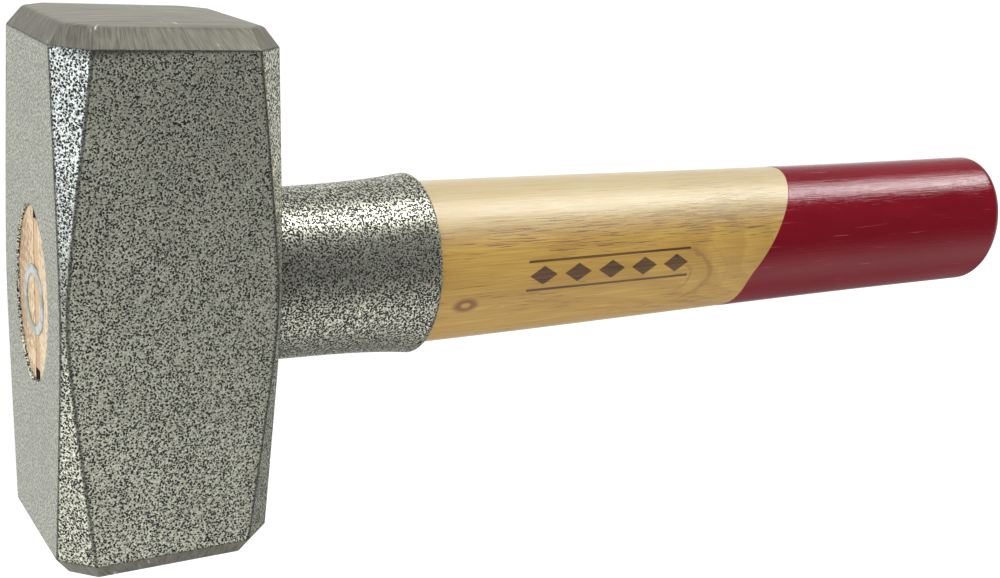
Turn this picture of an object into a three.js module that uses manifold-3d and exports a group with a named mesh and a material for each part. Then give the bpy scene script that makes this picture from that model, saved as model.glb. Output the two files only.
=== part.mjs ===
// Lump hammer: a forged head, a wedged hardwood handle and a steel sleeve that guards the handle's neck.
// Millimetres. +X runs along the handle away from the head, +Y along the head's length, +Z up.
// The hammer lies on one cheek of its head, and the origin is the centre of that cheek.
import * as THREE from "three";
import { mergeVertices } from "three/addons/utils/BufferGeometryUtils.js";
import Module from "manifold-3d";

// Head
const headWidth = 42.8; // X, from the eye's front face to the handle's side
const headDepth = 42.8; // Z, from cheek to cheek
const bodyLength = 98; // Y, between the two ground bevels
const facetAtEnds = 6; // corner facet beside the bevels
const facetAtMiddle = 1.1; // the same facet at half length
const bevelHeight = 3.8; // ground bevel, along Y
const bevelInset = 2.9; // ground bevel, across
const crownRise = 0.7; // how far the striking face bulges past its rim

// Eye, the oval hole for the handle
const eyeHalfHeight = 17.4; // Y, at the front
const eyeHalfWidth = 11.6; // Z, at the front
const eyeTaper = 1; // what each half axis loses on the way through

// Handle
const handleReach = 219.4; // X, from the head to the butt
const gripHalfHeight = 18.2; // Y, where the handle leaves the sleeve
const gripHalfWidth = 14.6; // Z, at the same place
const gripWaist = 0.9; // how much slimmer the grip is at its waist
const waistAt = 0.75; // the waist's place, as a share of the grip's length
const buttSwell = 0.1; // how much the butt widens past the waist
const buttRounding = 4; // rounded edge of the butt
const tenonRecess = 0.6; // the tenon's end lies this far inside the eye

// Sleeve
const sleeveLength = 38.5; // X
const sleeveWall = 1.3;
const lipThickness = 1.8; // the rolled end, from the handle outwards
const mouthHeightPlay = 0.4; // Y, spare room round the tenon where the sleeve meets the head
const mouthWidthPlay = 2.6; // Z, the same
const taperShare = 0.36; // how much of the sleeve's widening is an even taper; the rest is its flare
const flareSharpness = 4; // how late the flare comes

// Wedges
const kerfLength = 27; // X, depth of the saw cut in the tenon
const wedgeThickness = 3.2; // Z, at the tenon's end
const wedgeTip = 1; // Z, at the far end
const wedgeOffset = 1.6; // Z, from the handle's axis to the middle of the wedge
const wedgeHalfHeight = 14.9; // Y, so that the kerf stays open at both ends
const ringRadius = 6.9;
const ringWall = 1.8; // at the struck end
const ringEdge = 0.5; // at the driven end
const ringLength = 11; // X
const ringStandOff = 0.3; // how far the ring stands out of the tenon's end
const ringDrop = 1.2; // -Y, from the handle's axis to the ring's centre

// Clearances
const seatGap = 0.3; // between pieces that touch on the real hammer
const cutPast = 2; // how far a cutting tool runs past the face that it opens

const ovalSides = 40;
const frontX = -headWidth / 2;
const backX = headWidth / 2;
const axisZ = headDepth / 2;
const sleeveStart = backX + seatGap;
const sleeveEnd = backX + sleeveLength;
const buttX = backX + handleReach;
const tenonX = frontX + tenonRecess;

// A closed solid through a list of rings that all have the same number of points, numbered
// anticlockwise about the direction that the rings advance in. A looped one returns to its first ring.
function loft(rings, looped = false) {
  const points = rings.flat();
  const sides = rings[0].length;
  const index = [];
  const spans = looped ? rings.length : rings.length - 1;
  for (let i = 0; i < spans; i++) {
    const here = i * sides;
    const next = ((i + 1) % rings.length) * sides;
    for (let j = 0; j < sides; j++) {
      const k = (j + 1) % sides;
      index.push(here + j, here + k, next + k);
      index.push(here + j, next + k, next + j);
    }
  }
  if (!looped) {
    const last = (rings.length - 1) * sides;
    for (let j = 1; j < sides - 1; j++) {
      index.push(0, j + 1, j);
      index.push(last, last + j, last + j + 1);
    }
  }
  return new THREE.BufferGeometry().setFromPoints(points).setIndex(index);
}

// An oval ring across the handle's axis.
function oval(x, halfHeight, halfWidth) {
  return Array.from({ length: ovalSides }, (_, i) => {
    const turn = (2 * Math.PI * i) / ovalSides;
    return new THREE.Vector3(x, halfHeight * Math.cos(turn), axisZ + halfWidth * Math.sin(turn));
  });
}

const wasm = await Module();
wasm.setup();

function solid(geometry) {
  const bare = geometry.clone();
  bare.deleteAttribute("normal");
  bare.deleteAttribute("uv");
  const merged = mergeVertices(bare, 1e-4);
  return new wasm.Manifold(
    new wasm.Mesh({
      numProp: 3,
      vertProperties: new Float32Array(merged.attributes.position.array),
      triVerts: new Uint32Array(merged.index.array),
    }),
  );
}

function geometryOf(manifold) {
  const mesh = manifold.getMesh();
  const geometry = new THREE.BufferGeometry();
  geometry.setAttribute("position", new THREE.BufferAttribute(mesh.vertProperties, 3));
  geometry.setIndex(new THREE.BufferAttribute(mesh.triVerts, 1));
  geometry.computeVertexNormals();
  return geometry;
}

// The eye narrows steadily from the head's front to the handle's side.
function eyeOval(x, gap = 0) {
  const narrowing = (eyeTaper * (x - frontX)) / headWidth;
  return oval(x, eyeHalfHeight - narrowing - gap, eyeHalfWidth - narrowing - gap);
}

// Eight-sided section of the head at height y, drawn in by inset.
function headSection(y, facet, inset) {
  const w = headWidth / 2 - inset;
  const d = headDepth / 2 - inset;
  const corners = [
    [facet - w, d],
    [w - facet, d],
    [w, d - facet],
    [w, facet - d],
    [w - facet, -d],
    [facet - w, -d],
    [-w, facet - d],
    [-w, d - facet],
  ];
  return corners.map(([x, z]) => new THREE.Vector3(x, y, axisZ + z));
}

function headGeometry() {
  const half = bodyLength / 2;
  const bodyShares = [0, 0.08, 0.16, 0.26, 0.38, 0.54, 0.76, 1];
  const crownShares = [1, 0.8, 0.6, 0.4, 0.2];
  const facetGrowth = Math.sqrt(facetAtEnds ** 2 - facetAtMiddle ** 2);
  const bevelFacet = facetAtEnds - bevelInset * (2 - Math.SQRT2);
  const upper = bodyShares.map((share) =>
    headSection(half * share, Math.hypot(facetAtMiddle, facetGrowth * share), 0),
  );
  for (const share of crownShares) {
    const section = headSection(half + bevelHeight + crownRise * (1 - share ** 2), bevelFacet, bevelInset);
    upper.push(section.map((p) => new THREE.Vector3(p.x * share, p.y, axisZ + (p.z - axisZ) * share)));
  }
  const lower = upper
    .slice(1)
    .reverse()
    .map((ring) => ring.map((p) => new THREE.Vector3(p.x, -p.y, p.z)));
  const block = solid(loft([...lower, ...upper]));
  const eye = solid(loft([eyeOval(frontX - cutPast), eyeOval(backX + cutPast)]));
  return geometryOf(block.subtract(eye));
}

// Outer half axes of the sleeve at x, without the rolled end's rounding.
const mouthHalfHeight = eyeHalfHeight - eyeTaper + mouthHeightPlay + sleeveWall;
const mouthHalfWidth = eyeHalfWidth - eyeTaper + mouthWidthPlay + sleeveWall;
const lipHalfHeight = gripHalfHeight + seatGap + lipThickness;
const lipHalfWidth = gripHalfWidth + seatGap + lipThickness;

function sleeveOval(x, inward = 0) {
  const along = THREE.MathUtils.clamp((x - backX) / sleeveLength, 0, 1);
  const share = taperShare * along + (1 - taperShare) * along ** flareSharpness;
  const height = THREE.MathUtils.lerp(mouthHalfHeight, lipHalfHeight, share);
  const width = THREE.MathUtils.lerp(mouthHalfWidth, lipHalfWidth, share);
  return [height - inward, width - inward];
}

function sleeveGeometry() {
  const rings = [];
  const lipStart = sleeveEnd - lipThickness;
  const outerSteps = 10;
  for (let i = 0; i <= outerSteps; i++) {
    const x = THREE.MathUtils.lerp(sleeveStart, lipStart, i / outerSteps);
    rings.push(oval(x, ...sleeveOval(x)));
  }
  const [lipTopHeight, lipTopWidth] = sleeveOval(lipStart);
  const rollHeight = lipTopHeight - gripHalfHeight - seatGap;
  const rollWidth = lipTopWidth - gripHalfWidth - seatGap;
  const rollSteps = 5;
  for (let i = 1; i <= rollSteps; i++) {
    const turn = (Math.PI / 2) * (i / rollSteps);
    const drop = 1 - Math.cos(turn);
    const x = lipStart + lipThickness * Math.sin(turn);
    rings.push(oval(x, lipTopHeight - rollHeight * drop, lipTopWidth - rollWidth * drop));
  }
  rings.push(oval(lipStart, gripHalfHeight + seatGap, gripHalfWidth + seatGap));
  const innerSteps = 8;
  const innerStart = lipStart - lipThickness;
  for (let i = 0; i <= innerSteps; i++) {
    const x = THREE.MathUtils.lerp(innerStart, sleeveStart, i / innerSteps);
    const [height, width] = sleeveOval(x, sleeveWall);
    rings.push(oval(x, height, width));
  }
  return loft(rings, true);
}

// Half axes of the handle at x, from the sleeve's mouth to the butt's rounded edge.
function handleOval(x) {
  if (x < sleeveEnd) {
    const [height, width] = sleeveOval(x, sleeveWall + seatGap);
    return [Math.min(height, gripHalfHeight), Math.min(width, gripHalfWidth)];
  }
  const share = (x - sleeveEnd) / (buttX - sleeveEnd);
  const toWaist = THREE.MathUtils.smoothstep(share, 0, waistAt);
  const toButt = THREE.MathUtils.smoothstep(share, waistAt, 1);
  const slimming = gripWaist * toWaist - buttSwell * toButt;
  return [gripHalfHeight - slimming, gripHalfWidth - slimming];
}

function handleGeometry() {
  const rings = [eyeOval(tenonX, seatGap), eyeOval(backX, seatGap)];
  const neckSteps = 9;
  const shoulder = sleeveStart + sleeveWall;
  for (let i = 0; i <= neckSteps; i++) {
    const x = THREE.MathUtils.lerp(shoulder, sleeveEnd, i / neckSteps);
    rings.push(oval(x, ...handleOval(x)));
  }
  const gripSteps = 14;
  const roundingStart = buttX - buttRounding;
  for (let i = 1; i <= gripSteps; i++) {
    const x = THREE.MathUtils.lerp(sleeveEnd, roundingStart, i / gripSteps);
    rings.push(oval(x, ...handleOval(x)));
  }
  const roundingSteps = 5;
  const [buttHeight, buttWidth] = handleOval(roundingStart);
  for (let i = 1; i <= roundingSteps; i++) {
    const turn = (Math.PI / 2) * (i / roundingSteps);
    const drop = buttRounding * (1 - Math.cos(turn));
    const x = roundingStart + buttRounding * Math.sin(turn);
    rings.push(oval(x, buttHeight - drop, buttWidth - drop));
  }
  const stick = solid(loft(rings));
  const kerf = solid(wedgeShape(eyeHalfHeight, seatGap));
  return geometryOf(stick.subtract(kerf).subtract(solid(ringShape(seatGap))));
}

// The wooden wedge, or the kerf that holds it when a gap is given.
function wedgeShape(halfHeight, gap = 0) {
  const startX = gap > 0 ? tenonX - cutPast : tenonX;
  const endX = tenonX + kerfLength + gap;
  const slope = (wedgeThickness - wedgeTip) / kerfLength;
  const slab = (x) => {
    const half = (wedgeThickness - slope * (x - tenonX)) / 2 + gap;
    const z = axisZ + wedgeOffset;
    return [
      new THREE.Vector3(x, halfHeight, z - half),
      new THREE.Vector3(x, halfHeight, z + half),
      new THREE.Vector3(x, -halfHeight, z + half),
      new THREE.Vector3(x, -halfHeight, z - half),
    ];
  };
  return loft([slab(startX), slab(endX)]);
}

// The ring wedge, or the groove that holds it when a gap is given. Straight outside, tapered inside.
function ringShape(gap = 0) {
  const startX = gap > 0 ? tenonX - cutPast : tenonX - ringStandOff;
  const endX = tenonX + ringLength + gap;
  const profile = [
    new THREE.Vector2(ringRadius - ringWall - gap, startX),
    new THREE.Vector2(ringRadius + gap, startX),
    new THREE.Vector2(ringRadius + gap, endX),
    new THREE.Vector2(ringRadius - ringEdge - gap, endX),
  ];
  profile.push(profile[0].clone());
  const ring = new THREE.LatheGeometry(profile, ovalSides);
  ring.rotateZ(-Math.PI / 2);
  return ring.translate(0, -ringDrop, axisZ);
}

function woodWedgeGeometry() {
  const wedge = solid(wedgeShape(wedgeHalfHeight));
  return geometryOf(wedge.subtract(solid(ringShape(seatGap))));
}

const hammertone = { color: 0x7d8078, roughness: 0.35, metalness: 0.5 };
const finishes = {
  head: hammertone,
  handle: { color: 0xd9a862, roughness: 0.35, metalness: 0 },
  handle_sleeve: hammertone,
  wood_wedge: { color: 0xd8a878, roughness: 0.7, metalness: 0 },
  ring_wedge: { color: 0xb9bdc0, roughness: 0.3, metalness: 1 },
};

const geometries = {
  head: headGeometry(),
  handle: handleGeometry(),
  handle_sleeve: sleeveGeometry(),
  wood_wedge: woodWedgeGeometry(),
  ring_wedge: ringShape(),
};

const hammer = new THREE.Group();
for (const [name, geometry] of Object.entries(geometries)) {
  const mesh = new THREE.Mesh(geometry, new THREE.MeshStandardMaterial(finishes[name]));
  mesh.name = name;
  hammer.add(mesh);
}

export default hammer;
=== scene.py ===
import math

import bmesh
import bpy
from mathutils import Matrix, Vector


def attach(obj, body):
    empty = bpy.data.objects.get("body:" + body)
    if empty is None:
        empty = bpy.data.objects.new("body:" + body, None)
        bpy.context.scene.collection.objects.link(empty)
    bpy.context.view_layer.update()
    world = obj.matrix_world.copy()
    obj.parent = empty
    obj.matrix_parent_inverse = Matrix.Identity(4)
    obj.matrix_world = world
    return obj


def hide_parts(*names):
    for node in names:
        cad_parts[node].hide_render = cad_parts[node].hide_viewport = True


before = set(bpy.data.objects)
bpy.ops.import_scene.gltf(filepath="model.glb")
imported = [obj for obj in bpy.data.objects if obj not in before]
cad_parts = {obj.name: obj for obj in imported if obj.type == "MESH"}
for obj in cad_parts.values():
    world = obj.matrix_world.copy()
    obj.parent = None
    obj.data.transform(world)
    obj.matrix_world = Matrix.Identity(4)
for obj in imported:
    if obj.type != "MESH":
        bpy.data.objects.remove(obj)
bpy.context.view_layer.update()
print("frame loaded:", ", ".join(sorted(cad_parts)))

# Sizes are in millimetres, with the hammer lying on one cheek of its head.
# +X runs along the handle away from the head, +Y along the head's length, +Z up.
mm = 0.001
axisZ = 21.4  # height of the handle's axis above the cheek it lies on


def smoothRamp(value, low, high):
    share = min(max((value - low) / (high - low), 0), 1)
    return share * share * (3 - 2 * share)


def blendTo(a, b, share):
    return a + (b - a) * share


def skinMesh(name, rings, looped=False):
    # joins each ring of points to the next; a ring of one point is a pole
    bm = bmesh.new()
    rows = [[bm.verts.new((x * mm, y * mm, z * mm)) for x, y, z in ring] for ring in rings]
    pairs = list(zip(rows, rows[1:])) + ([(rows[-1], rows[0])] if looped else [])
    for here, there in pairs:
        count = max(len(here), len(there))
        for i in range(count):
            j = (i + 1) % count
            corners = [here[i % len(here)], here[j % len(here)], there[j % len(there)], there[i % len(there)]]
            corners = [v for k, v in enumerate(corners) if v not in corners[:k]]
            bm.faces.new(corners)
    if not looped:
        for row, turned in ((rows[0], True), (rows[-1], False)):
            if len(row) > 1:
                bm.faces.new(row[::-1] if turned else row)
    bmesh.ops.recalc_face_normals(bm, faces=bm.faces)
    mesh = bpy.data.meshes.new(name)
    bm.to_mesh(mesh)
    bm.free()
    return mesh


def newPiece(name, mesh, material=None):
    piece = bpy.data.objects.new(name, mesh)
    bpy.context.scene.collection.objects.link(piece)
    if material:
        mesh.materials.append(material)
    return piece


def settle(piece):
    # the live modifiers become plain mesh
    bpy.context.view_layer.update()
    graph = bpy.context.evaluated_depsgraph_get()
    plain = bpy.data.meshes.new_from_object(piece.evaluated_get(graph), depsgraph=graph)
    old = piece.data
    piece.modifiers.clear()
    piece.data = plain
    bpy.data.meshes.remove(old)
    plain.name = piece.name


def faceOutwards(piece):
    bm = bmesh.new()
    bm.from_mesh(piece.data)
    bmesh.ops.recalc_face_normals(bm, faces=bm.faces)
    bm.to_mesh(piece.data)
    bm.free()


def carve(piece, *tools):
    for tool in tools:
        cut = piece.modifiers.new("carve", "BOOLEAN")
        cut.operation = "DIFFERENCE"
        cut.solver = "EXACT"
        cut.object = tool
    settle(piece)
    for tool in tools:
        shape = tool.data
        bpy.data.objects.remove(tool)
        bpy.data.meshes.remove(shape)


def finishShading(piece, sharpFrom=32):
    # flat faces keep their own normals, rounded edges share theirs
    piece.data.shade_smooth()
    piece.data.set_sharp_from_angle(angle=math.radians(sharpFrom))
    even = piece.modifiers.new("even", "WEIGHTED_NORMAL")
    even.keep_sharp = True
    even.weight = 80
    settle(piece)


def oval(x, halfHeight, halfWidth, sides=96):
    turns = [2 * math.pi * i / sides for i in range(sides)]
    return [(x, halfHeight * math.cos(t), axisZ + halfWidth * math.sin(t)) for t in turns]


def addNode(tree, kind, inputs=None, **settings):
    made = tree.nodes.new(kind)
    for key, value in settings.items():
        setattr(made, key, value)
    for key, value in (inputs or {}).items():
        if isinstance(value, bpy.types.NodeSocket):
            tree.links.new(value, made.inputs[key])
        else:
            made.inputs[key].default_value = value
    return made


def mathNode(tree, operation, a, b=0.0, c=0.0, clamp=False):
    made = addNode(tree, "ShaderNodeMath", {0: a, 1: b, 2: c}, operation=operation, use_clamp=clamp)
    return made.outputs[0]


def times(tree, *values):
    # the product of two or more values
    product = values[0]
    for value in values[1:]:
        product = mathNode(tree, "MULTIPLY", product, value)
    return product


def remap(tree, value, low, high, toLow=0.0, toHigh=1.0, kind="SMOOTHSTEP"):
    made = addNode(tree, "ShaderNodeMapRange", {
        "Value": value, "From Min": low, "From Max": high, "To Min": toLow, "To Max": toHigh},
        interpolation_type=kind)
    return made.outputs[0]


def mixColor(tree, factor, a, b):
    return addNode(tree, "ShaderNodeMix", {0: factor, 6: a, 7: b}, data_type="RGBA").outputs[2]


def noise(tree, vector, scale, detail=2.0, roughness=0.5):
    made = addNode(tree, "ShaderNodeTexNoise", {
        "Vector": vector, "Scale": scale, "Detail": detail, "Roughness": roughness})
    return made.outputs[0]


def stretchedNoise(tree, vector, scale, detail=2.0, roughness=0.5):
    return noise(tree, mapped(tree, vector, scale=scale), 1.0, detail, roughness)


def mapped(tree, vector, scale=(1, 1, 1), location=(0, 0, 0)):
    made = addNode(tree, "ShaderNodeMapping", {"Vector": vector, "Scale": scale, "Location": location})
    return made.outputs[0]


def splitAxes(tree, vector):
    return addNode(tree, "ShaderNodeSeparateXYZ", {0: vector}).outputs


def distanceFrom(tree, place, centre, stretch):
    # how far a spot lies from the centre, with each axis stretched
    offset = mapped(tree, place, location=[-c for c in centre])
    offset = addNode(tree, "ShaderNodeVectorMath", {0: offset, 1: stretch}, operation="MULTIPLY").outputs[0]
    return addNode(tree, "ShaderNodeVectorMath", {0: offset}, operation="LENGTH").outputs["Value"]


def newGroup(name, inputs, outputs):
    # inputs: name -> starting value; outputs: name -> socket kind
    kinds = {float: "NodeSocketFloat", tuple: "NodeSocketVector"}
    group = bpy.data.node_groups.new(name, "ShaderNodeTree")
    for label, value in inputs.items():
        kind = "NodeSocketColor" if isinstance(value, tuple) and len(value) == 4 else kinds[type(value)]
        group.interface.new_socket(label, in_out="INPUT", socket_type=kind).default_value = value
    for label, kind in outputs.items():
        group.interface.new_socket(label, in_out="OUTPUT", socket_type=kind)
    return group, group.nodes.new("NodeGroupInput").outputs, group.nodes.new("NodeGroupOutput")


def useGroup(tree, group, inputs):
    return addNode(tree, "ShaderNodeGroup", inputs, node_tree=group).outputs


def newMaterial(name):
    material = bpy.data.materials.new(name)
    material.use_nodes = True
    tree = material.node_tree
    shader = tree.nodes["Principled BSDF"]
    place = addNode(tree, "ShaderNodeTexCoord").outputs["Object"]
    return material, tree, shader, mapped(tree, place, scale=(1000, 1000, 1000))


def bump(tree, height, distance, strength):
    made = addNode(tree, "ShaderNodeBump", {"Height": height, "Distance": distance, "Strength": strength})
    return made.outputs[0]


def scaled(tree, color, factor):
    return addNode(tree, "ShaderNodeVectorMath", {0: color, "Scale": factor}, operation="SCALE").outputs[0]


# every vector that goes into these groups is in millimetres
# dark dots in a light paint, with flakes that gleam more or less
hammerTone, given, out = newGroup("hammerTone", dict(
    Place=(0.0, 0.0, 0.0), Spacing=0.5, Low=0.35, High=0.62,
    Light=(0.4, 0.4, 0.4, 1.0), Dark=(0.02, 0.02, 0.02, 1.0)),
    dict(Color="NodeSocketColor", Pattern="NodeSocketFloat", Height="NodeSocketFloat"))
density = mathNode(hammerTone, "DIVIDE", 1.0, given["Spacing"])
dots = addNode(hammerTone, "ShaderNodeTexVoronoi", {"Vector": given["Place"], "Scale": density})
ragged = noise(hammerTone, given["Place"], mathNode(hammerTone, "MULTIPLY", density, 2.1), detail=0.0)
cells = mathNode(hammerTone, "MULTIPLY_ADD", mathNode(hammerTone, "SUBTRACT", ragged, 0.5), 0.75,
                 dots.outputs["Distance"])
pattern = remap(hammerTone, cells, given["Low"], given["High"])
gleam = noise(hammerTone, mapped(hammerTone, given["Place"], location=(37, 11, 5)),
              mathNode(hammerTone, "MULTIPLY", density, 1.6), detail=1.0)
gleam = remap(hammerTone, gleam, 0.3, 0.7, 0.5, 1.4, "LINEAR")
drift = remap(hammerTone, noise(hammerTone, given["Place"], 0.09), 0.3, 0.7, 0.94, 1.06)
tone = mixColor(hammerTone, pattern, given["Dark"], given["Light"])
tone = scaled(hammerTone, tone, times(hammerTone, gleam, drift))
hammerTone.links.new(tone, out.inputs["Color"])
hammerTone.links.new(pattern, out.inputs["Pattern"])
hammerTone.links.new(remap(hammerTone, cells, 0.15, 0.75), out.inputs["Height"])

# year rings round a heart that lies under the stick, fibres and pores along it
woodGrain, given, out = newGroup("woodGrain", dict(
    Place=(0.0, 0.0, 0.0), RingSpacing=1.5, Bend=0.0012),
    dict.fromkeys(("Rings", "Fibres", "Pores", "Clouds"), "NodeSocketFloat"))
split = splitAxes(woodGrain, given["Place"])
past = mathNode(woodGrain, "MAXIMUM", mathNode(woodGrain, "SUBTRACT", split["X"], 92.0), 0.0)
bent = times(woodGrain, past, past, given["Bend"])
wander = stretchedNoise(woodGrain, given["Place"], (0.012, 0.05, 0.05), detail=3.0)
wander = times(woodGrain, mathNode(woodGrain, "SUBTRACT", wander, 0.5), 7.0)
heart = addNode(woodGrain, "ShaderNodeCombineXYZ", {
    "Y": mathNode(woodGrain, "ADD", split["Y"], 6.0),
    "Z": mathNode(woodGrain, "ADD", split["Z"], 44.0)}).outputs[0]
reach = addNode(woodGrain, "ShaderNodeVectorMath", {0: heart}, operation="LENGTH").outputs["Value"]
reach = mathNode(woodGrain, "ADD", mathNode(woodGrain, "ADD", reach, bent), wander)
years = mathNode(woodGrain, "DIVIDE", reach, given["RingSpacing"])
season = mathNode(woodGrain, "FRACT", years)
rise = remap(woodGrain, season, 0.0, 0.72)
fall = remap(woodGrain, season, 0.86, 1.0, 1.0, 0.0)
woodGrain.links.new(times(woodGrain, rise, fall), out.inputs["Rings"])
fibres = stretchedNoise(woodGrain, given["Place"], (0.06, 2.8, 2.8), detail=4.0, roughness=0.65)
woodGrain.links.new(remap(woodGrain, fibres, 0.3, 0.7), out.inputs["Fibres"])
pores = stretchedNoise(woodGrain, given["Place"], (0.14, 4.2, 4.2), detail=1.0)
patches = stretchedNoise(woodGrain, given["Place"], (0.025, 0.12, 0.12))
early = mathNode(woodGrain, "MULTIPLY_ADD", mathNode(woodGrain, "SUBTRACT", patches, 0.5), 0.5, pores)
# more open pores along one side of the stick
side = times(woodGrain, remap(woodGrain, split["Y"], 1.0, 7.0),
             remap(woodGrain, split["Y"], 9.0, 14.0, 0.13, 0.0))
early = mathNode(woodGrain, "ADD", early, side)
woodGrain.links.new(remap(woodGrain, early, 0.67, 0.75), out.inputs["Pores"])
woodGrain.links.new(remap(woodGrain, patches, 0.3, 0.7), out.inputs["Clouds"])

# grinding lines run along the vector's X
scratches, given, out = newGroup("scratches", dict(Place=(0.0, 0.0, 0.0), Fineness=1.0),
                                 dict(Lines="NodeSocketFloat", Marks="NodeSocketFloat"))
fine = noise(scratches, mapped(scratches, given["Place"], scale=(0.05, 4.0, 4.0)), given["Fineness"])
coarse = noise(scratches, mapped(scratches, given["Place"], scale=(0.08, 1.3, 1.3)), given["Fineness"])
both = mathNode(scratches, "MULTIPLY_ADD", coarse, 0.5, times(scratches, fine, 0.5))
scratches.links.new(both, out.inputs["Lines"])
scratches.links.new(remap(scratches, coarse, 0.64, 0.72), out.inputs["Marks"])
print("shared effects built")


headSizes = dict(
    half=21.4,            # half the square section
    bodyHalf=49.0,        # Y, up to the ground bevels
    facetAtEnds=6.0,
    facetAtMiddle=1.1,
    bevelHeight=3.8,
    bevelInset=2.9,
    crownRise=0.67,
    edgeRounding=0.8,     # how far the edge between bevel and face is rounded back
    coat=0.12,            # paint thickness
    softEdge=0.231,       # how far the painted corners are rounded back
    cornerFlat=0.3,       # a strip beside each corner that stays flat
    eyeHalfHeight=17.4,
    eyeHalfWidth=11.6,
    eyeTaper=1.0,
    eyeRimRounding=0.45,
)


def headOutline(facet, inset):
    s = headSizes
    w = s["half"] - inset
    f = facet - inset * (2 - math.sqrt(2))
    corners = [(f - w, w), (w - f, w), (w, w - f), (w, f - w)]
    corners += [(-x, -z) for x, z in corners]
    points = []
    for i, corner in enumerate(corners):
        here = Vector(corner)
        before = (Vector(corners[i - 1]) - here).normalized()
        after = (Vector(corners[(i + 1) % 8]) - here).normalized()
        start = here + before * s["softEdge"]
        end = here + after * s["softEdge"]
        points.append(start + before * s["cornerFlat"])
        for k in range(5):
            share = k / 4
            points.append(start.lerp(here, share).lerp(here.lerp(end, share), share))
        points.append(end + after * s["cornerFlat"])
    return points


def facetAt(y):
    s = headSizes
    growth = math.sqrt(s["facetAtEnds"] ** 2 - s["facetAtMiddle"] ** 2)
    return math.hypot(s["facetAtMiddle"], growth * abs(y) / s["bodyHalf"])


def headRing(y, facet, inset, share=1.0):
    return [(p.x * share, y, axisZ + p.y * share) for p in headOutline(facet, inset)]


def bodyRings(inset):
    s = headSizes
    top = s["bodyHalf"] + s["bevelHeight"] * inset / s["bevelInset"]  # where the bevel cuts this layer
    steps = [top * (k / 24) for k in range(-24, 25)]
    steps[1:1] = [-top + 0.4]
    steps[-1:-1] = [top - 0.4]
    return [headRing(y, facetAt(y), inset) for y in steps]


def eyeTool(name, grow):
    # a bore that narrows towards the handle's side, rounded at both rims
    s = headSizes
    r = s["eyeRimRounding"]
    rings = []
    for k in range(9):
        turn = math.pi / 2 * k / 8
        rings.append((-s["half"] + r - r * math.cos(turn) - 0.001, r - r * math.sin(turn)))
    rings = [(-s["half"] - 2, r + 0.05)] + rings
    rings += [(x, 0) for x in (-12, -4, 4, 12)]
    for k in range(9):
        turn = math.pi / 2 * (8 - k) / 8
        rings.append((s["half"] - r + r * math.cos(turn) + 0.001, r - r * math.sin(turn)))
    rings.append((s["half"] + 2, r + 0.05))
    points = []
    for x, flare in rings:
        narrowing = s["eyeTaper"] * (min(max(x, -s["half"]), s["half"]) + s["half"]) / (2 * s["half"])
        a = s["eyeHalfHeight"] - narrowing + flare + grow
        b = s["eyeHalfWidth"] - narrowing + flare + grow
        points.append(oval(x, a, b, sides=121))
    return newPiece(name, skinMesh(name, points))


def buildHeadCore(material):
    s = headSizes
    rim = s["bodyHalf"] + s["bevelHeight"]
    upper = bodyRings(s["coat"])
    slope = math.atan2(s["bevelInset"], s["bevelHeight"])
    r = s["edgeRounding"]
    edge = Vector((rim, s["bevelInset"]))
    before = edge - Vector((math.cos(slope), math.sin(slope))) * r
    after = edge + Vector((0.04, 1)) * r
    crown = []
    for k in range(7):
        share = k / 6
        y, inset = before.lerp(edge, share).lerp(edge.lerp(after, share), share)
        crown.append(headRing(y, s["facetAtEnds"], inset))
    for share in (0.93, 0.88, 0.8, 0.7, 0.6, 0.5, 0.4, 0.3, 0.2, 0.1):
        y = rim + s["crownRise"] * (1 - share ** 2)
        crown.append(headRing(y, s["facetAtEnds"], s["bevelInset"], share))
    lower = [[(x, -y, z) for x, y, z in ring] for ring in reversed(crown)]
    tip = rim + s["crownRise"]
    rings = [[(0, -tip, axisZ)]] + lower + upper + crown + [[(0, tip, axisZ)]]
    piece = newPiece("head_steel", skinMesh("head_steel", rings), material)
    carve(piece, eyeTool("eyeBore", s["coat"]))
    finishShading(piece, 28)
    return piece


def buildHeadCoat(material):
    # outer skin of the body with the eye cut out, thickened inwards
    s = headSizes
    rings = bodyRings(0)
    piece = newPiece("head_paint", skinMesh("head_paint", rings), material)
    carve(piece, eyeTool("eyeBore", 0))
    bm = bmesh.new()
    bm.from_mesh(piece.data)
    ends = [f for f in bm.faces if all(abs(abs(v.co.y) - s["bodyHalf"] * mm) < 1e-6 for v in f.verts)]
    bmesh.ops.delete(bm, geom=ends, context="FACES")
    bm.to_mesh(piece.data)
    bm.free()
    wall = piece.modifiers.new("wall", "SOLIDIFY")
    wall.thickness = s["coat"] * mm * 0.98  # just clear of the steel
    wall.offset = -1
    wall.use_rim = True
    settle(piece)
    markCorners(piece)
    finishShading(piece, 28)
    return piece


def markCorners(piece):
    # 1 along the rounded corners and where the paint stops, more in a bead at one corner, 0 on the flats; the
    # paint's stop is darkened as painted shade
    s = headSizes
    values = []
    for v in piece.data.vertices:
        x, y, z = v.co.x / mm, v.co.y / mm, v.co.z / mm - axisZ
        f, w = facetAt(y), s["half"]
        u, d = max(abs(x), abs(z)), min(abs(x), abs(z))
        corner = math.hypot(u - w, d - (w - f))
        stop = s["bodyHalf"] - abs(y)
        bead = math.dist((x, y, z), (s["facetAtEnds"] - w, s["bodyHalf"], w))
        alongCorner = 1 - smoothRamp(corner, 0.15, 0.5)
        atStop = 1 - smoothRamp(stop, 0.0, 0.4)
        atBead = 1.3 * (1 - smoothRamp(bead, 0.3, 1.3))
        values.append(max(alongCorner, atStop, atBead))
    layer = piece.data.attributes.new("cornerEdge", "FLOAT", "POINT")
    layer.data.foreach_set("value", values)


sleeveSizes = dict(
    start=21.7,           # 0.3 clear of the head
    length=38.5,
    mouthHalfHeight=18.1,
    mouthHalfWidth=14.5,
    flare=2.2,
    taperShare=0.36,
    flareSharpness=4.0,
    lip=1.8,              # radius of the rolled end
    wall=1.3,
)


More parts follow.
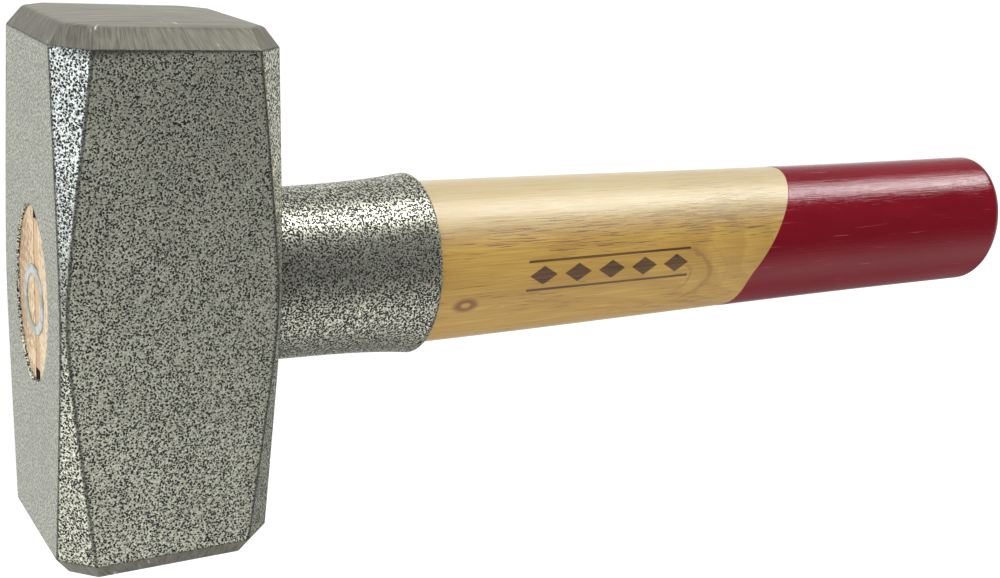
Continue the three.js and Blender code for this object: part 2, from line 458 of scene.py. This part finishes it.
def sleeveFlare(x):
    s = sleeveSizes
    along = min(max((x - headSizes["half"]) / s["length"], 0), 1)
    return s["flare"] * (s["taperShare"] * along + (1 - s["taperShare"]) * along ** s["flareSharpness"])


def sleeveTree():
    # a sheet whose rows follow the sleeve's taper, flare and rolled end, closed round an oval
    tree = bpy.data.node_groups.new("sleeveSheet", "GeometryNodeTree")
    face = tree.interface
    for label in ("Start", "Length", "Half Height", "Half Width", "Flare", "Taper Share", "Sharpness",
                  "Lip", "Axis"):
        face.new_socket(label, in_out="INPUT", socket_type="NodeSocketFloat")
    face.new_socket("Along", in_out="INPUT", socket_type="NodeSocketInt")
    face.new_socket("Around", in_out="INPUT", socket_type="NodeSocketInt")
    face.new_socket("Material", in_out="INPUT", socket_type="NodeSocketMaterial")
    face.new_socket("Geometry", in_out="OUTPUT", socket_type="NodeSocketGeometry")
    given = tree.nodes.new("NodeGroupInput").outputs
    out = tree.nodes.new("NodeGroupOutput")

    grid = addNode(tree, "GeometryNodeMeshGrid", {
        "Vertices X": given["Along"], "Vertices Y": given["Around"]})
    uv = splitAxes(tree, grid.outputs["UV Map"])
    # seven tenths of the rows run straight, the rest go round the rolled end
    straight = mathNode(tree, "DIVIDE", uv["X"], 0.7, clamp=True)
    rolled = mathNode(tree, "DIVIDE", mathNode(tree, "SUBTRACT", uv["X"], 0.7), 0.3, clamp=True)
    turn = mathNode(tree, "MULTIPLY", rolled, math.pi / 2)
    run = mathNode(tree, "SUBTRACT", given["Length"], given["Lip"])
    x = mathNode(tree, "MULTIPLY", straight, run)
    x = mathNode(tree, "MULTIPLY_ADD", mathNode(tree, "SINE", turn), given["Lip"], x)
    along = mathNode(tree, "DIVIDE", mathNode(tree, "MINIMUM", x, run), given["Length"])
    bell = mathNode(tree, "POWER", along, given["Sharpness"])
    even = mathNode(tree, "MULTIPLY", along, given["Taper Share"])
    rest = mathNode(tree, "SUBTRACT", 1.0, given["Taper Share"])
    widen = mathNode(tree, "MULTIPLY", mathNode(tree, "MULTIPLY_ADD", bell, rest, even), given["Flare"])
    fallBack = mathNode(tree, "SUBTRACT", 1.0, mathNode(tree, "COSINE", turn))
    widen = mathNode(tree, "SUBTRACT", widen, mathNode(tree, "MULTIPLY", fallBack, given["Lip"]))
    around = mathNode(tree, "MULTIPLY", uv["Y"], 2 * math.pi)
    height = mathNode(tree, "MULTIPLY", mathNode(tree, "ADD", given["Half Height"], widen),
                      mathNode(tree, "COSINE", around))
    width = mathNode(tree, "MULTIPLY", mathNode(tree, "ADD", given["Half Width"], widen),
                     mathNode(tree, "SINE", around))
    spot = addNode(tree, "ShaderNodeCombineXYZ", {
        "X": mathNode(tree, "ADD", x, given["Start"]), "Y": height,
        "Z": mathNode(tree, "ADD", width, given["Axis"])}).outputs[0]
    sheet = addNode(tree, "GeometryNodeSetPosition", {
        "Geometry": grid.outputs["Mesh"], "Position": spot}).outputs[0]
    closed = addNode(tree, "GeometryNodeMergeByDistance", {"Geometry": sheet, "Distance": 1e-6}).outputs[0]
    smooth = addNode(tree, "GeometryNodeSetShadeSmooth", {"Geometry": closed}).outputs[0]
    real = addNode(tree, "GeometryNodeRealizeInstances", {"Geometry": smooth}).outputs[0]
    done = addNode(tree, "GeometryNodeSetMaterial", {
        "Geometry": real, "Material": given["Material"]}).outputs[0]
    tree.links.new(done, out.inputs["Geometry"])
    return tree


def setInputs(modifier, values):
    ids = {item.name: item.identifier for item in modifier.node_group.interface.items_tree
           if item.item_type == "SOCKET" and item.in_out == "INPUT"}
    for label, value in values.items():
        modifier[ids[label]] = value


def buildSleeve(material):
    s = sleeveSizes
    piece = newPiece("neck_sleeve", bpy.data.meshes.new("neck_sleeve"))
    sheet = piece.modifiers.new("sheet", "NODES")
    sheet.node_group = sleeveTree()
    setInputs(sheet, {
        "Start": s["start"] * mm, "Length": s["length"] * mm, "Axis": axisZ * mm,
        "Half Height": s["mouthHalfHeight"] * mm, "Half Width": s["mouthHalfWidth"] * mm,
        "Flare": s["flare"] * mm, "Taper Share": s["taperShare"], "Sharpness": s["flareSharpness"],
        "Lip": s["lip"] * mm, "Along": 70, "Around": 161, "Material": material})
    settle(piece)
    faceOutwards(piece)
    wall = piece.modifiers.new("wall", "SOLIDIFY")
    wall.thickness = s["wall"] * mm
    wall.offset = -1
    settle(piece)
    finishShading(piece, 50)
    return piece


handleSizes = dict(
    tenonX=-20.8,
    eyeGap=0.04,          # the tenon fills the eye
    sleeveGap=0.3,
    sleeveEnd=59.9,
    buttX=240.8,
    gripHalfHeight=18.2,
    gripHalfWidth=14.6,
    waist=0.9,
    waistAt=0.75,
    buttSwell=0.1,
    buttRounding=4.0,
    kerfLength=27.0,
    kerfCentre=1.6,       # Z, from the axis
    wedgeThickness=3.2,
    wedgeTip=1.0,
    wedgeHalfHeight=14.9,
    ringRadius=6.9,
    ringWall=1.8,
    ringEdge=0.5,
    ringLip=0.22,         # radius of the struck end's edges
    ringLength=11.0,
    ringStandOff=0.3,
    ringDrop=1.2,
)

lacquerSizes = dict(
    film=0.1,
    edgeX=154.6,          # where the colour starts, on the axis
    slopeY=0.61,          # the dipped edge slants along the handle
    slopeZ=-0.053,
    hem=4.5,              # how far the edge turns back low on one side
    edgeSoftness=0.25,
)


def gripAxes(x):
    s = handleSizes
    if x < s["sleeveEnd"]:
        inside = sleeveFlare(x) - sleeveSizes["wall"] - s["sleeveGap"]
        height = min(sleeveSizes["mouthHalfHeight"] + inside, s["gripHalfHeight"])
        width = min(sleeveSizes["mouthHalfWidth"] + inside, s["gripHalfWidth"])
        return height, width
    share = (x - s["sleeveEnd"]) / (s["buttX"] - s["sleeveEnd"])
    slimming = s["waist"] * smoothRamp(share, 0, s["waistAt"])
    slimming -= s["buttSwell"] * smoothRamp(share, s["waistAt"], 1)
    return s["gripHalfHeight"] - slimming, s["gripHalfWidth"] - slimming


def buttRings(inset, steps=9):
    # rounded edge and flat end of the butt
    s = handleSizes
    start = s["buttX"] - s["buttRounding"]
    height, width = gripAxes(start)
    rings = []
    for i in range(1, steps + 1):
        turn = math.pi / 2 * i / steps
        drop = s["buttRounding"] * (1 - math.cos(turn))
        x = start + (s["buttRounding"] - inset) * math.sin(turn)
        rings.append(oval(x, height - drop - inset, width - drop - inset))
    x = s["buttX"] - inset
    flatHeight, flatWidth = height - s["buttRounding"] - inset, width - s["buttRounding"] - inset
    rings += [oval(x, flatHeight * k, flatWidth * k) for k in (0.92, 0.7, 0.4, 0.15)]
    return rings + [[(x, 0, axisZ)]]


def wedgeTool(name, startX, halfHeight, gap):
    # tapers along X
    s = handleSizes
    endX = s["tenonX"] + s["kerfLength"] + gap
    rings = []
    for x in (startX, endX):
        thin = (s["wedgeThickness"] - s["wedgeTip"]) / s["kerfLength"] * (x - s["tenonX"])
        half = (s["wedgeThickness"] - thin) / 2 + gap
        z = axisZ + s["kerfCentre"]
        rings.append([(x, halfHeight, z - half), (x, halfHeight, z + half),
                      (x, -halfHeight, z + half), (x, -halfHeight, z - half)])
    return skinMesh(name, rings)


def ringMesh(name, gap, startX, rounded):
    # straight outside, tapered inside, turned about a line along the handle
    s = handleSizes
    outer, endX = s["ringRadius"] + gap, s["tenonX"] + s["ringLength"] + gap
    inner = s["ringRadius"] - s["ringWall"] - gap
    edge = s["ringRadius"] - s["ringEdge"] - gap
    profile = [(startX, inner), (startX, outer), (endX, outer), (endX, edge)]
    if rounded:
        r = s["ringLip"]
        arc = (0, 0.5, 1.05, 1.57)
        profile = [(startX + r * (1 - math.sin(t)), inner + r * (1 - math.cos(t))) for t in arc]
        profile += [(startX + r * (1 - math.cos(t)), outer - r * (1 - math.sin(t))) for t in arc]
        profile += [(endX, outer), (endX, edge)]
    turns = [2 * math.pi * i / 96 for i in range(96)]
    centreY = -s["ringDrop"]
    rings = []
    for x, radius in profile:
        rings.append([(x, centreY + radius * math.cos(t), axisZ + radius * math.sin(t)) for t in turns])
    return skinMesh(name, rings, looped=True)


def buildHandle(material):
    s = handleSizes
    film = lacquerSizes["film"]
    eye = headSizes
    rings = []

    def tenonAxes(x):
        narrowing = eye["eyeTaper"] * (x + eye["half"]) / (2 * eye["half"])
        return eye["eyeHalfHeight"] - narrowing - s["eyeGap"], eye["eyeHalfWidth"] - narrowing - s["eyeGap"]

    a, b = tenonAxes(s["tenonX"])
    rings.append([(s["tenonX"], 0, axisZ)])
    rings += [oval(s["tenonX"], a * k, b * k) for k in (0.3, 0.6, 0.85, 0.96)]
    rings.append(oval(s["tenonX"], a - 0.25, b - 0.25))
    rings.append(oval(s["tenonX"] + 0.08, a - 0.07, b - 0.07))
    rings.append(oval(s["tenonX"] + 0.25, a, b))
    for k in range(1, 13):
        x = blendTo(s["tenonX"], eye["half"] - 0.05, k / 12)
        rings.append(oval(x, *tenonAxes(x)))
    for k in range(16):
        x = blendTo(sleeveSizes["start"] + 1.3, s["sleeveEnd"], k / 16)
        a, b = gripAxes(x)
        rings.append(oval(x, a - film, b - film))
    last = s["buttX"] - s["buttRounding"]
    for k in range(73):
        x = blendTo(s["sleeveEnd"], last, k / 72)
        a, b = gripAxes(x)
        rings.append(oval(x, a - film, b - film))
    rings += buttRings(film)
    piece = newPiece("handle_wood", skinMesh("handle_wood", rings), material)
    kerf = newPiece("kerf", wedgeTool("kerf", s["tenonX"] - 2, 18.0, 0.06))
    groove = newPiece("groove", ringMesh("groove", 0.05, s["tenonX"] - 2, False))
    carve(piece, kerf, groove)
    finishShading(piece, 35)
    return piece


def buildLacquer(material):
    # a closed film: outside from the butt's centre to the slanted edge, and back along the wood
    s, c = handleSizes, lacquerSizes
    last = s["buttX"] - s["buttRounding"]

    def edgeX(turn):
        x = c["edgeX"]
        for _ in range(4):
            a, b = gripAxes(x)
            x = c["edgeX"] + c["slopeY"] * a * math.cos(turn) + c["slopeZ"] * b * math.sin(turn)
        return x + c["hem"] * smoothRamp(-math.cos(turn), 0.3, 1.0)

    turns = [2 * math.pi * i / 96 for i in range(96)]

    def slantedRing(share, inset, shift=0.0):
        ring = []
        for t in turns:
            x = blendTo(edgeX(t) + shift, last, share)
            a, b = gripAxes(x)
            ring.append((x, (a - inset) * math.cos(t), axisZ + (b - inset) * math.sin(t)))
        return ring

    steps = 40
    outside = [slantedRing(0, c["film"], -c["edgeSoftness"] * 0.5), slantedRing(0, c["film"] * 0.45, -0.07)]
    outside += [slantedRing(0, c["film"] * 0.1, c["edgeSoftness"] * 0.4)]
    outside += [slantedRing(k / steps, 0) for k in range(1, steps + 1)] + buttRings(0)
    inset = c["film"] * 0.98  # just clear of the wood
    inside = [slantedRing(k / steps, inset) for k in range(steps + 1)] + buttRings(inset)
    piece = newPiece("red_lacquer_end", skinMesh("red_lacquer_end", outside[::-1] + inside), material)
    finishShading(piece, 50)
    return piece


def buildWoodWedge(material):
    s = handleSizes
    mesh = wedgeTool("wedge_wood", s["tenonX"] + 0.1, s["wedgeHalfHeight"], 0)
    piece = newPiece("wedge_wood", mesh, material)
    soft = piece.modifiers.new("soft", "BEVEL")
    soft.width = 0.12 * mm
    soft.segments = 2
    settle(piece)
    carve(piece, newPiece("groove", ringMesh("groove", 0.05, s["tenonX"] - 2, False)))
    finishShading(piece, 35)
    return piece


def buildRingWedge(material):
    s = handleSizes
    mesh = ringMesh("wedge_ring", 0, s["tenonX"] - s["ringStandOff"], True)
    piece = newPiece("wedge_ring", mesh, material)
    finishShading(piece, 40)
    return piece


def hammeredPaintFinish():
    material, tree, shader, place = newMaterial("hammeredPaint")
    split = splitAxes(tree, place)
    half = headSizes["half"]
    # the tube behind the head is more dotted, and its paint is made darker than the same paint on the head:
    # painted shade
    tube = remap(tree, split["X"], half + 0.1, half + 0.2)
    speckle = useGroup(tree, hammerTone, {
        "Place": place, "Spacing": 0.47,
        "Low": mathNode(tree, "MULTIPLY_ADD", tube, 0.06, 0.35),
        "High": mathNode(tree, "MULTIPLY_ADD", tube, 0.06, 0.63),
        "Light": (0.74, 0.75, 0.61, 1), "Dark": (0.012, 0.01, 0.012, 1)})
    body = scaled(tree, speckle["Color"], mathNode(tree, "MULTIPLY_ADD", tube, -0.08, 1.0))
    # painted reflection: the face round the eye's front is evened out towards a flat grey, in place of the
    # even sheen its gloss shows at a low angle
    front = remap(tree, split["X"], 0.04 - half, 0.02 - half, 0.0, 0.65)
    body = mixColor(tree, front, body, (0.3, 0.305, 0.25, 1))
    # darker along the rounded corners and at a bead on one corner; the dark line where the paint stops at the
    # bevels is painted shade, the shade at the film's edge
    edge = addNode(tree, "ShaderNodeAttribute", attribute_name="cornerEdge").outputs["Fac"]
    body = mixColor(tree, times(tree, edge, 0.75), body, (0.03, 0.03, 0.028, 1))
    tree.links.new(body, shader.inputs["Base Color"])
    tree.links.new(remap(tree, speckle["Pattern"], 0.0, 1.0, 0.45, 0.3, "LINEAR"), shader.inputs["Roughness"])
    flake = times(tree, mathNode(tree, "MAXIMUM", speckle["Pattern"], front),
                  mathNode(tree, "MULTIPLY_ADD", tube, 0.04, 0.88))
    tree.links.new(flake, shader.inputs["Metallic"])
    tree.links.new(bump(tree, speckle["Height"], 0.00008, 0.4), shader.inputs["Normal"])
    shader.inputs["Specular IOR Level"].default_value = 0.2
    shader.inputs["Coat Weight"].default_value = 0.04
    shader.inputs["Coat Roughness"].default_value = 0.25
    return material


def groundSteelFinish():
    material, tree, shader, place = newMaterial("groundSteel")
    split = splitAxes(tree, place)
    rim = headSizes["bodyHalf"] + headSizes["bevelHeight"]
    onFace = remap(tree, mathNode(tree, "ABSOLUTE", split["Y"]), rim - 0.4, rim + 0.1)
    # the bevels are ground across their width, the faces along X
    around = mathNode(tree, "ARCTAN2", split["X"], mathNode(tree, "SUBTRACT", split["Z"], axisZ))
    slant = mathNode(tree, "MULTIPLY_ADD", around, 20.0, times(tree, split["Y"], 0.25))
    across = addNode(tree, "ShaderNodeCombineXYZ", {"X": times(tree, split["Y"], 4.0), "Y": slant}).outputs[0]
    along = addNode(tree, "ShaderNodeCombineXYZ", {
        "X": split["X"], "Y": mathNode(tree, "MULTIPLY_ADD", split["X"], 0.06, split["Z"])}).outputs[0]
    bevelLines = useGroup(tree, scratches, {"Place": across, "Fineness": 1.1})
    faceLines = useGroup(tree, scratches, {"Place": along, "Fineness": 0.8})
    lines = addNode(tree, "ShaderNodeMix", {
        0: onFace, 2: bevelLines["Lines"], 3: faceLines["Lines"]}).outputs[0]
    grey = remap(tree, lines, 0.34, 0.66)
    # painted shade: the bevels get a darker tone than the faces of the same ground steel, which holds down
    # the lamps' gleam on them
    bevelTone = mixColor(tree, grey, (0.13, 0.125, 0.1, 1), (0.26, 0.25, 0.205, 1))
    faceTone = mixColor(tree, grey, (0.17, 0.163, 0.131, 1), (0.36, 0.345, 0.288, 1))
    body = mixColor(tree, onFace, bevelTone, faceTone)
    # a few bright scratches on the bevels
    marks = times(tree, bevelLines["Marks"], remap(tree, noise(tree, place, 0.5), 0.5, 0.62), 0.7)
    body = mixColor(tree, marks, body, (0.8, 0.79, 0.72, 1))
    tree.links.new(body, shader.inputs["Base Color"])
    shader.inputs["Metallic"].default_value = 0.8
    tree.links.new(remap(tree, lines, 0.3, 0.7, 0.5, 0.62), shader.inputs["Roughness"])
    tree.links.new(bump(tree, lines, 0.00006, 0.7), shader.inputs["Normal"])
    return material


def brightSteelFinish():
    material, tree, shader, place = newMaterial("brightSteel")
    lines = useGroup(tree, scratches, {"Place": place, "Fineness": 0.8})
    stain = noise(tree, place, 0.35, detail=3.0)
    tone = mixColor(tree, remap(tree, stain, 0.42, 0.58), (0.44, 0.45, 0.38, 1), (0.64, 0.68, 0.72, 1))
    tree.links.new(tone, shader.inputs["Base Color"])
    shader.inputs["Metallic"].default_value = 1.0
    tree.links.new(remap(tree, lines["Lines"], 0.3, 0.7, 0.25, 0.45), shader.inputs["Roughness"])
    tree.links.new(bump(tree, lines["Lines"], 0.00003, 0.5), shader.inputs["Normal"])
    return material


def woodColor(tree, grain, pale, deep, poreTone, poreDepth):
    body = mixColor(tree, times(tree, grain["Fibres"], 0.7), pale, deep)
    body = mixColor(tree, times(tree, grain["Rings"], 0.4), body, deep)
    return mixColor(tree, times(tree, grain["Pores"], poreDepth), body, poreTone)


# a plain burned ornament: a row of lozenges between two lines
ornament = dict(
    centreX=105.5,
    centreY=-1.0,
    pitch=9.4,
    halfLength=3.7,
    halfHeight=2.2,
    run=23.0,             # half the ornament's length
    lineAt=3.35,
    lineHalf=0.28,
)

woodMarks = dict(
    knotAt=(67.4, -6.6, 35.0),
    knotStretch=(0.4, 0.72, 0.72),
    bowAt=(121, -5, 35),  # a year ring cut along its bow, near the lacquer
    bowStretch=(0.42, 0.8, 0.1),
    bowFrom=123.0,
    bowFull=131.0,
)


def ornamentMask(tree, split):
    s = ornament
    along = mathNode(tree, "SUBTRACT", split["X"], s["centreX"])
    across = mathNode(tree, "ABSOLUTE", mathNode(tree, "SUBTRACT", split["Y"], s["centreY"]))
    turn = mathNode(tree, "ROUND", mathNode(tree, "DIVIDE", along, s["pitch"]))
    beside = mathNode(tree, "ABSOLUTE", mathNode(tree, "MULTIPLY_ADD", turn, -s["pitch"], along))
    reach = mathNode(tree, "MULTIPLY_ADD", beside, 1 / s["halfLength"],
                     mathNode(tree, "DIVIDE", across, s["halfHeight"]))
    lozenge = remap(tree, reach, 0.95, 1.05, 1.0, 0.0)
    fromLine = mathNode(tree, "ABSOLUTE", mathNode(tree, "SUBTRACT", across, s["lineAt"]))
    line = remap(tree, fromLine, s["lineHalf"] - 0.08, s["lineHalf"] + 0.08, 1.0, 0.0)
    within = remap(tree, mathNode(tree, "ABSOLUTE", along), s["run"] - 0.1, s["run"] + 0.1, 1.0, 0.0)
    onTop = remap(tree, split["Z"], axisZ, axisZ + 1)
    return times(tree, mathNode(tree, "MAXIMUM", lozenge, line), within, onTop)


def knotMask(tree, place):
    radius = distanceFrom(tree, place, woodMarks["knotAt"], woodMarks["knotStretch"])
    return times(tree, remap(tree, radius, 0.3, 0.65), remap(tree, radius, 0.8, 1.6, 1.0, 0.0), 0.9)


def bowMask(tree, place, split):
    c = woodMarks
    radius = distanceFrom(tree, place, c["bowAt"], c["bowStretch"])
    radius = mathNode(tree, "MULTIPLY_ADD", noise(tree, place, 0.16), 3.2, radius)
    line = remap(tree, mathNode(tree, "SINE", times(tree, radius, 2.6)), 0.55, 1.0)
    return times(tree, line, remap(tree, split["X"], c["bowFrom"], c["bowFull"]),
                 remap(tree, radius, 8.6, 11.0, 1.0, 0.0), 0.42)


def kerfShadeMask(tree, split):
    # painted shade: the walls of the kerf's open ends, above and below the wedge
    s = handleSizes
    fromKerf = mathNode(tree, "ABSOLUTE", mathNode(tree, "SUBTRACT", split["Z"], axisZ + s["kerfCentre"]))
    kerfHalf = s["wedgeThickness"] / 2
    inKerf = remap(tree, fromKerf, kerfHalf + 0.1, kerfHalf + 0.2, 1.0, 0.0)
    wedgeEnd = s["wedgeHalfHeight"]
    pastWedge = remap(tree, mathNode(tree, "ABSOLUTE", split["Y"]), wedgeEnd - 0.1, wedgeEnd + 0.1)
    behindEnd = remap(tree, split["X"], s["tenonX"] + 0.02, s["tenonX"] + 0.1)
    beforeNeck = remap(tree, split["X"], 8.0, 9.0, 1.0, 0.0)
    return times(tree, inKerf, pastWedge, behindEnd, beforeNeck, 0.92)


def handleWoodFinish():
    material, tree, shader, place = newMaterial("varnishedAsh")
    grain = useGroup(tree, woodGrain, {"Place": place, "RingSpacing": 1.5, "Bend": 0.0012})
    body = woodColor(tree, grain, pale=(0.51, 0.315, 0.052, 1), deep=(0.31, 0.16, 0.018, 1),
                     poreTone=(0.12, 0.04, 0.004, 1), poreDepth=0.92)
    body = mixColor(tree, times(tree, grain["Clouds"], 0.4), body, (0.37, 0.2, 0.026, 1))
    split = splitAxes(tree, place)
    # painted light: paler along the +Y side, the side the lamps light most
    paintedLitSide = times(tree, remap(tree, split["Y"], 5.0, 14.0),
                    remap(tree, grain["Fibres"], 0.0, 1.0, 0.95, 0.55))
    body = mixColor(tree, paintedLitSide, body, (0.4, 0.34, 0.2, 1))
    body = mixColor(tree, bowMask(tree, place, split), body, (0.2, 0.085, 0.02, 1))
    body = mixColor(tree, knotMask(tree, place), body, (0.17, 0.055, 0.007, 1))
    # the ornament is burned a little unevenly along the fibres
    burnt = times(tree, ornamentMask(tree, split), remap(tree, grain["Fibres"], 0.0, 1.0, 0.82, 0.97))
    body = mixColor(tree, burnt, body, (0.055, 0.02, 0.006, 1))
    # end grain on the sawn tenon, browner on one side of the kerf
    tenonX = handleSizes["tenonX"]
    atEnd = remap(tree, split["X"], tenonX + 0.2, tenonX + 0.05)
    endDarkness = mathNode(tree, "MULTIPLY_ADD", grain["Rings"], 0.12, noise(tree, place, 0.9, detail=4.0))
    endDarkness = mathNode(tree, "ADD", endDarkness, remap(tree, split["Z"], 12.0, 23.0, 0.16, -0.06))
    endTone = mixColor(tree, remap(tree, endDarkness, 0.4, 0.8), (0.8, 0.63, 0.4, 1), (0.4, 0.24, 0.1, 1))
    body = mixColor(tree, atEnd, body, endTone)
    # painted shade, near black, in the kerf's open ends
    body = mixColor(tree, kerfShadeMask(tree, split), body, (0.02, 0.01, 0.005, 1))
    tree.links.new(body, shader.inputs["Base Color"])
    # the sawn end is bare and dull, the rest is varnished
    dull = mathNode(tree, "MULTIPLY_ADD", grain["Pores"], 0.12, 0.42)
    dull = mathNode(tree, "MULTIPLY_ADD", atEnd, 0.2, dull)
    tree.links.new(dull, shader.inputs["Roughness"])
    coat = mathNode(tree, "SUBTRACT", 0.7, times(tree, atEnd, 0.7))
    tree.links.new(coat, shader.inputs["Coat Weight"])
    shader.inputs["Coat Roughness"].default_value = 0.36
    shader.inputs["Sheen Weight"].default_value = 0.2
    shader.inputs["Sheen Roughness"].default_value = 0.35
    height = mathNode(tree, "SUBTRACT", times(tree, grain["Fibres"], 0.3), grain["Pores"])
    tree.links.new(bump(tree, height, 0.0001, 0.6), shader.inputs["Normal"])
    return material


def wedgeWoodFinish():
    material, tree, shader, place = newMaterial("rawWedgeWood")
    turned = mapped(tree, place, location=(0, 20, 9))
    grain = useGroup(tree, woodGrain, {"Place": turned, "RingSpacing": 1.1, "Bend": 0.0})
    body = woodColor(tree, grain, pale=(0.84, 0.62, 0.4, 1), deep=(0.55, 0.34, 0.17, 1),
                     poreTone=(0.25, 0.12, 0.05, 1), poreDepth=0.6)
    tree.links.new(body, shader.inputs["Base Color"])
    tree.links.new(remap(tree, grain["Fibres"], 0.0, 1.0, 0.6, 0.8, "LINEAR"), shader.inputs["Roughness"])
    tree.links.new(bump(tree, grain["Fibres"], 0.00012, 0.6), shader.inputs["Normal"])
    return material


def lacquerFinish():
    material, tree, shader, place = newMaterial("redLacquer")
    grain = useGroup(tree, woodGrain, {"Place": place, "RingSpacing": 1.5, "Bend": 0.0012})
    body = mixColor(tree, grain["Clouds"], (0.14, 0.0052, 0.012, 1), (0.162, 0.0074, 0.0145, 1))
    # pale streaks along the handle
    streaks = stretchedNoise(tree, place, (0.07, 2.2, 2.2), detail=1.0)
    streaks = times(tree, remap(tree, streaks, 0.7, 0.8), 0.3)
    body = mixColor(tree, streaks, body, (0.5, 0.17, 0.16, 1))
    tree.links.new(body, shader.inputs["Base Color"])
    tree.links.new(remap(tree, grain["Fibres"], 0.0, 1.0, 0.06, 0.11, "LINEAR"), shader.inputs["Roughness"])
    shader.inputs["Specular IOR Level"].default_value = 0.5
    tree.links.new(bump(tree, grain["Fibres"], 0.00003, 0.6), shader.inputs["Normal"])
    return material


hammeredPaint = hammeredPaintFinish()
print("finishes made")

headCore = buildHeadCore(groundSteelFinish())
headCoat = buildHeadCoat(hammeredPaint)
print("head built")
sleeve = buildSleeve(hammeredPaint)
print("sleeve built")
handle = buildHandle(handleWoodFinish())
lacquer = buildLacquer(lacquerFinish())
print("handle built")
woodWedge = buildWoodWedge(wedgeWoodFinish())
ringWedge = buildRingWedge(brightSteelFinish())
print("wedges built")

for piece, node, slot in (
        (headCore, "head", "ground_steel"),
        (headCoat, "head", "hammertone_paint"),
        (sleeve, "handle_sleeve", "hammertone_paint"),
        (handle, "handle", "varnished_wood"),
        (lacquer, "handle", "red_lacquer"),
        (woodWedge, "wood_wedge", "raw_wood"),
        (ringWedge, "ring_wedge", "bright_steel")):
    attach(piece, "root")
    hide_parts(node)
print("pieces placed")


# the stage is in metres
stageSizes = dict(
    floorHalf=2.5,
    floorDrop=0.0001,     # keeps the floor clear of the cheek that lies on it
    floorTone=0.5,
    floorGlow=0.7,
    skyLight=1.0,
    cameraAt=(-0.0831, 0.0810, 0.2805),
    cameraTurn=(-19.609, -30.873, 4.979),
    focalLength=49.97,    # millimetres, as the sensor's width
    sensorWidth=36,
    shift=(0.0166, 0.0203),
)


def buildFloor():
    half = stageSizes["floorHalf"]
    outline = ((-half, -half), (half, -half), (half, half), (-half, half))
    corners = [(x, y, -stageSizes["floorDrop"]) for x, y in outline]
    mesh = bpy.data.meshes.new("floor")
    mesh.from_pydata(corners, [], [(0, 1, 2, 3)])
    material, _, shader, _ = newMaterial("paleFloor")
    tone = stageSizes["floorTone"]
    shader.inputs["Base Color"].default_value = (tone, tone, tone, 1)
    shader.inputs["Roughness"].default_value = 1.0
    shader.inputs["Specular IOR Level"].default_value = 0.0
    shader.inputs["Emission Color"].default_value = (1, 1, 1, 1)
    shader.inputs["Emission Strength"].default_value = stageSizes["floorGlow"]
    floor = newPiece("floor", mesh, material)
    floor.visible_glossy = False  # what the gloss mirrors below the horizon comes from the world


def addPanel(name, centre, facing, width, height, radiance, tint=(1, 1, 1), inGloss=True):
    # a softbox that shows in the gloss only, or lights the surfaces without showing in the gloss
    panel = bpy.data.lights.new(name, "AREA")
    panel.shape = "RECTANGLE"
    panel.size = width
    panel.size_y = height
    panel.energy = radiance * math.pi * width * height
    panel.color = tint
    lamp = bpy.data.objects.new(name, panel)
    bpy.context.scene.collection.objects.link(lamp)
    lamp.location = centre
    lamp.rotation_euler = Vector(facing).to_track_quat("-Z", "Y").to_euler()
    lamp.visible_diffuse = not inGloss
    lamp.visible_glossy = inGloss


def buildWorld():
    world = bpy.data.worlds.new("studio")
    bpy.context.scene.world = world
    world.use_nodes = True
    tree = world.node_tree
    direction = addNode(tree, "ShaderNodeTexCoord").outputs["Generated"]

    def shadeAround(way, near, far, atCentre, atEdge):
        dot = addNode(tree, "ShaderNodeVectorMath", {0: direction, 1: Vector(way).normalized()},
                      operation="DOT_PRODUCT").outputs["Value"]
        rimCosine, coreCosine = math.cos(math.radians(far)), math.cos(math.radians(near))
        return remap(tree, dot, rimCosine, coreCosine, atEdge, atCentre, "LINEAR")

    # the gloss sees a dim room: dark behind the camera, low on the right and in front, white paper below
    room = shadeAround((0.56, 0.32, 0.77), 34, 62, 0.01, 1.0)
    for way, near, far, atCentre in (
            ((0.75, 0.62, -0.15), 10, 50, 0.22),
            ((0.66, -0.66, -0.2), 20, 45, 0.19),
            ((-0.93, -0.2, 0.25), 15, 45, 0.2)):
        room = times(tree, room, shadeAround(way, near, far, atCentre, 1.0))
    room = mathNode(tree, "MAXIMUM", room, shadeAround((-0.24, 0, -0.97), 25, 60, 1.0, 0.0))
    glossy = addNode(tree, "ShaderNodeLightPath").outputs["Is Glossy Ray"]
    light = addNode(tree, "ShaderNodeMix", {0: glossy, 2: stageSizes["skyLight"], 3: room}).outputs[0]
    tree.links.new(light, tree.nodes["Background"].inputs["Color"])


def buildCamera():
    lens = bpy.data.cameras.new("camera")
    lens.lens = stageSizes["focalLength"]
    lens.sensor_width = stageSizes["sensorWidth"]
    lens.shift_x, lens.shift_y = stageSizes["shift"]
    lens.clip_start = 0.01
    lens.clip_end = 20
    camera = bpy.data.objects.new("camera", lens)
    bpy.context.scene.collection.objects.link(camera)
    camera.location = stageSizes["cameraAt"]
    camera.rotation_euler = [math.radians(a) for a in stageSizes["cameraTurn"]]
    bpy.context.scene.camera = camera


buildFloor()
buildWorld()
buildCamera()
addPanel("rightPanel", (0.426, 0.338, 0.155), (0, -1, 0), 0.55, 0.19, 4.9)
addPanel("rightStrip", (0.426, 0.33, 0.16), (0, -1, 0), 0.55, 0.026, 15.0)
addPanel("leftPanel", (-0.42, 0.07, 0.145), (1, 0, 0), 0.2, 0.17, 2.5, tint=(0.7, 0.8, 1.06))
addPanel("lowLeftPanel", (-0.377, -0.243, 0.137), (0.85, 0.46, -0.23), 0.12, 0.12, 1.6)
addPanel("farFill", (0.12, 0.9, 0.16), (0, -1, -0.15), 1.0, 0.4, 6.2, inGloss=False)
addPanel("nearFill", (0.16, -0.9, 0.1), (0, 1, -0.1), 1.0, 0.3, 3.2, inGloss=False)
bpy.context.scene.view_settings.view_transform = "Standard"
print("stage set")
